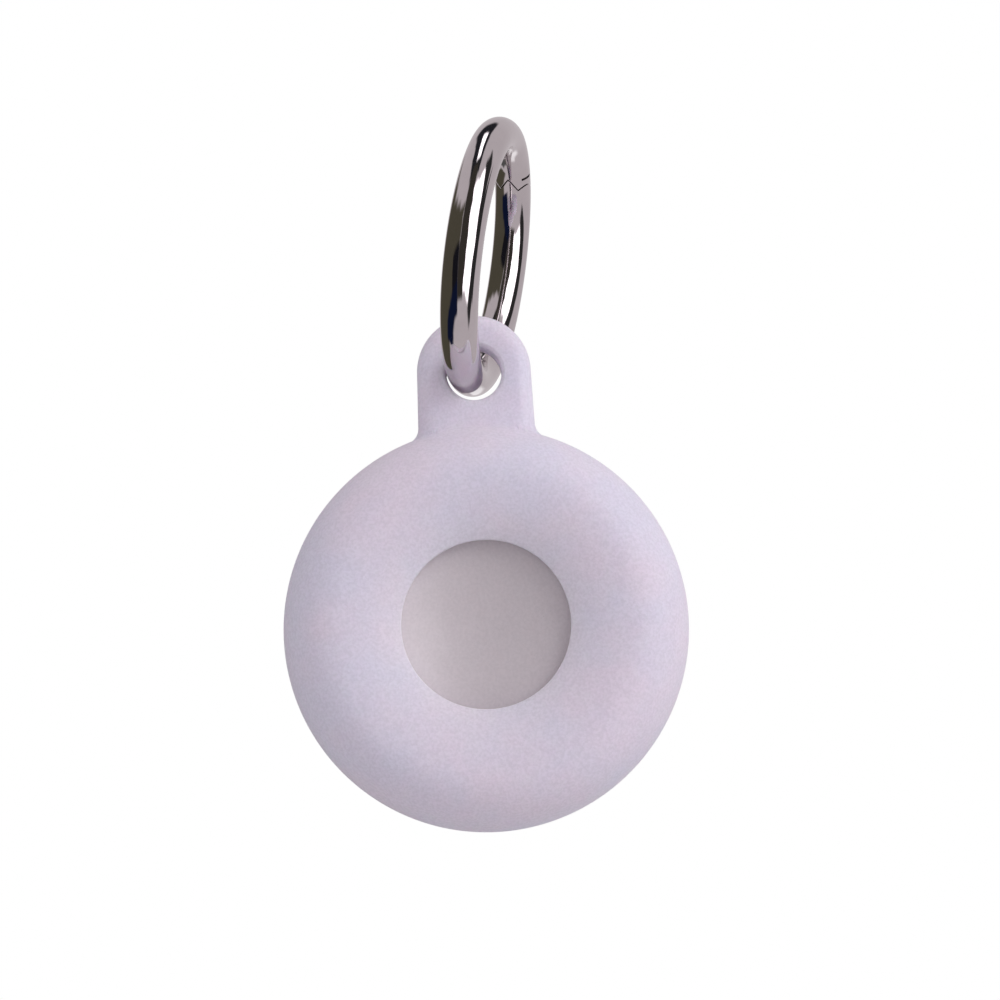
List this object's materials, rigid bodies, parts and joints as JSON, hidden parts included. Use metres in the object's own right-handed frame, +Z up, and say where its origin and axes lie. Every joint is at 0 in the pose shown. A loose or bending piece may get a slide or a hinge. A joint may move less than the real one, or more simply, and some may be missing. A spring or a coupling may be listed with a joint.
{
  "type": "bluetooth tracker tag",
  "caption": "Round bluetooth tracker in a dished translucent silicone holder, hung by its lug from a spring-gate ring.",
  "frame": {"origin": "the hang point: the inside of the ring at its top, where a hook or strap carries it", "axes": "+Z up, from the tag to the hang point; +Y from the window side to the battery side, the tag's own axis; +X to the right of someone who faces the window"},
  "size_m": [0.04, 0.0279, 0.0712],
  "materials": {
    "silicone": "translucent matte moulded silicone, pale lavender white",
    "ring_metal": "polished nickel plating",
    "pin_steel": "ground pin, ends dressed flush",
    "spring_steel": "drawn spring wire",
    "cover_plastic": "fine matte moulded",
    "shell_plastic": "smooth moulded white",
    "frame_plastic": "moulded white",
    "board_laminate": "solder mask",
    "chip_resin": "black moulded resin",
    "can_metal": "tinned sheet",
    "capacitor_ceramic": "brown fired ceramic",
    "inductor_ferrite": "grey ferrite",
    "antenna_copper": "plated copper band",
    "coil_copper": "enamelled copper wire",
    "basket_plastic": "black moulded",
    "yoke_steel": "zinc-plated pressed steel",
    "magnet_nickel": "nickel-plated magnet",
    "diaphragm_film": "pressed film",
    "contact_gold": "gold-flashed spring strip",
    "cell_steel": "nickel-plated drawn steel",
    "gasket_nylon": "natural nylon",
    "cell_core": "wound and pressed electrodes",
    "cover_steel": "polished stainless",
    "pad_foam": "closed-cell foam",
    "seal_rubber": "black moulded"
  },
  "bodies": {
    "ring": {"ring_body": "ring_metal", "gate_hinge_pin": "pin_steel", "gate_spring": "spring_steel"},
    "gate": {"ring_gate": "ring_metal"},
    "sleeve": {"silicone_sleeve": "silicone"},
    "tracker": {"front_cover": "cover_plastic", "rear_bezel": "shell_plastic", "inner_frame": "frame_plastic", "circuit_board": "board_laminate", "radio_chip": "chip_resin", "shield_can": "can_metal", "accelerometer": "chip_resin", "crystal": "can_metal", "chip_capacitors": "capacitor_ceramic", "chip_inductors": "inductor_ferrite", "bluetooth_antenna": "antenna_copper", "nfc_coil": "coil_copper", "speaker_basket": "basket_plastic", "magnet_yoke": "yoke_steel", "speaker_magnet": "magnet_nickel", "pole_plate": "yoke_steel", "positive_contacts": "contact_gold", "negative_contact": "contact_gold", "battery_can": "cell_steel", "battery_cap": "cell_steel", "battery_gasket": "gasket_nylon", "battery_core": "cell_core", "seal_ring": "seal_rubber"},
    "battery_cover": {"battery_cover": "cover_steel", "cover_carrier": "frame_plastic", "cover_foam_pad": "pad_foam"},
    "speaker_cone": {"speaker_diaphragm": "diaphragm_film", "voice_coil": "coil_copper"}
  },
  "joints": [
    {"name": "gate_hinge", "type": "hinge", "parent": "ring", "child": "gate", "pos_m": [-0.0022, 0.00972, -0.01806], "axis": [-0.9672, 0.1549, 0.2011], "range_deg": [-25, 0], "stiffness_Nm_per_rad": 0.06, "springref_deg": 28.65, "deforming": ["gate_spring"]},
    {"name": "sleeve_swing", "type": "hinge", "parent": "ring", "child": "sleeve", "pos_m": [-0.00206, 0.00033, -0.01019], "axis": [-0.9672, 0.1549, 0.2011], "continuous": true},
    {"name": "tracker_turn", "type": "hinge", "parent": "sleeve", "child": "tracker", "pos_m": [-0.00395, 0.00072, -0.04749], "axis": [0, 1, 0], "continuous": true},
    {"name": "cover_turn", "type": "hinge", "parent": "tracker", "child": "battery_cover", "pos_m": [-0.00395, 0.00072, -0.04749], "axis": [0, -1, 0], "range_deg": [0, 25]},
    {"name": "speaker_travel", "type": "slide", "parent": "tracker", "child": "speaker_cone", "axis": [0, 1, 0], "range_m": [-0.00015, 0.00015], "stiffness_N_per_m": 100}
  ]
}
